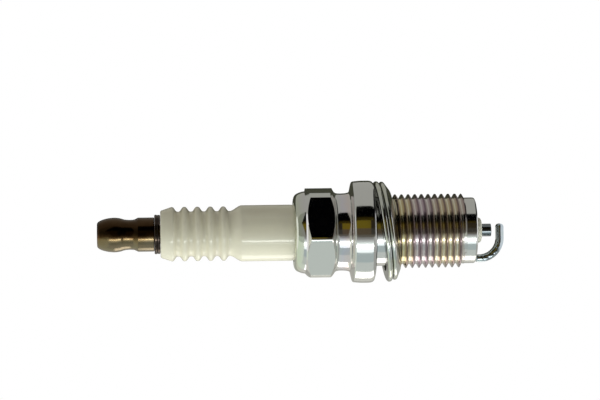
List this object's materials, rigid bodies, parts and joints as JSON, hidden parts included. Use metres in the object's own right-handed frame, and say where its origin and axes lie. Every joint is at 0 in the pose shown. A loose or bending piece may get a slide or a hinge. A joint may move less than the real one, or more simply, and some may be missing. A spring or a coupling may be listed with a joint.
{
  "type": "spark plug",
  "caption": "Spark plug with ribbed ceramic insulator, screw-on terminal nut, hexagon shell with threaded shank, loose folded gasket and hooked ground electrode over the centre electrode.",
  "frame": {"origin": "on the plug axis, in the gasket seat plane under the flange", "axes": "+Z along the plug axis towards the terminal nut; the ground electrode's root is on the -X side; the loose gasket touches the flange on the +X side"},
  "size_m": [0.0192, 0.0192, 0.0763],
  "materials": {
    "nut_metal": "satin",
    "stud_steel": "satin",
    "glazed_alumina": "gloss",
    "seal_glass": "gloss",
    "resistor_mix": "matte",
    "nickel_alloy": "satin",
    "copper": "satin",
    "packing_steel": "satin",
    "talc": "matte",
    "plated_steel": "gloss",
    "gasket_steel": "satin"
  },
  "bodies": {
    "plug": {"shell": "plated_steel", "insulator": "glazed_alumina", "terminal_stud": "stud_steel", "upper_glass_seal": "seal_glass", "resistor": "resistor_mix", "lower_glass_seal": "seal_glass", "center_electrode": "nickel_alloy", "electrode_core": "copper", "upper_packing_ring": "packing_steel", "talc_packing": "talc", "lower_packing_ring": "packing_steel", "seat_washer": "packing_steel", "ground_electrode": "nickel_alloy"},
    "nut": {"terminal_nut": "nut_metal"},
    "gasket": {"gasket": "gasket_steel"}
  },
  "joints": [
    {"name": "nut_travel", "type": "slide", "parent": "plug", "child": "nut", "axis": [0, 0, 1], "range_m": [0, 0.0105]},
    {"name": "gasket_rock", "type": "hinge", "parent": "plug", "child": "gasket", "pos_m": [0.00895, 0, -0.00051], "axis": [0, 1, 0], "range_deg": [0, 6.4]}
  ]
}
